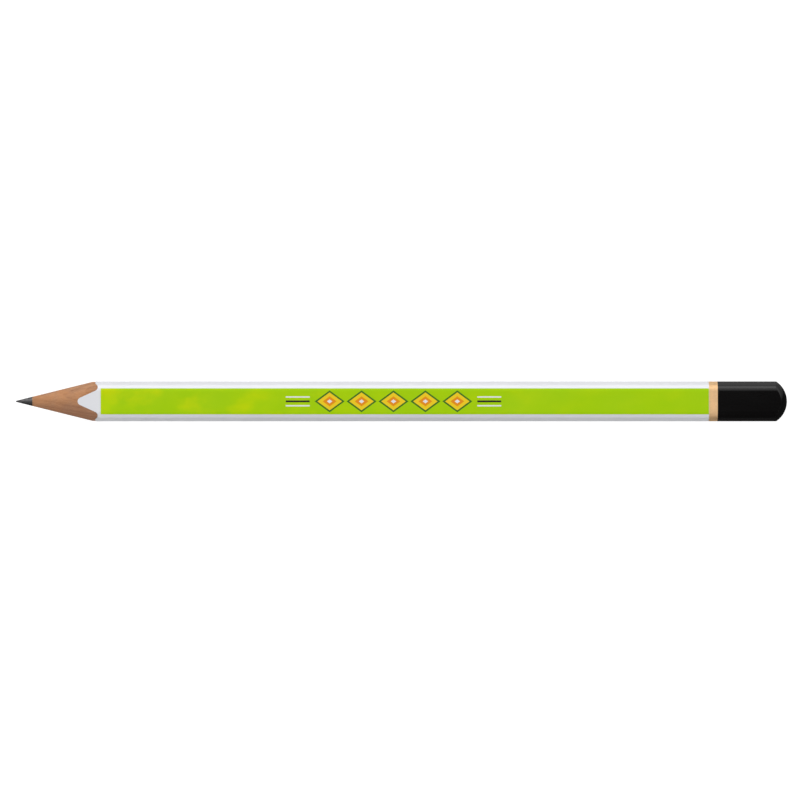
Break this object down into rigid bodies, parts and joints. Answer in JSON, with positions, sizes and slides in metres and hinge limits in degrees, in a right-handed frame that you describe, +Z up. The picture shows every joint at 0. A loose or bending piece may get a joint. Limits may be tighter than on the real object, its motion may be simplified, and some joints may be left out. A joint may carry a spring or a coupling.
{
  "type": "giant pencil",
  "caption": "Oversized wood-cased pencil with a broad-faced six-sided barrel, sharpened point, printed face, foil ring and domed dipped end, for display or for drawing.",
  "frame": {"origin": "under the middle of the length, on the plane of the plain broad face that the pencil lies on", "axes": "+X along the pencil from its point to its capped end, +Y across from ridge to ridge, +Z up out of the printed broad face"},
  "size_m": [0.387, 0.02, 0.0163],
  "materials": {
    "slat_wood": "smooth cut wood with a fine lengthwise grain, orange-brown",
    "graphite": "dark grey graphite with a dull sheen",
    "wood_glue": "dried wood glue, amber",
    "primer": "matt off-white primer",
    "white_lacquer": "glossy white lacquer",
    "green_print": "mottled yellow-green print, satin",
    "gold_foil": "satin gold stamping foil",
    "black_lacquer": "glossy black dipped lacquer"
  },
  "bodies": {
    "root": {"upper_slat": "slat_wood", "lower_slat": "slat_wood", "graphite_lead": "graphite", "glue_seam": "wood_glue", "primer_coat": "primer", "white_lacquer": "white_lacquer", "print_panel": "green_print", "gold_ring": "gold_foil", "black_cap": "black_lacquer"}
  },
  "joints": []
}
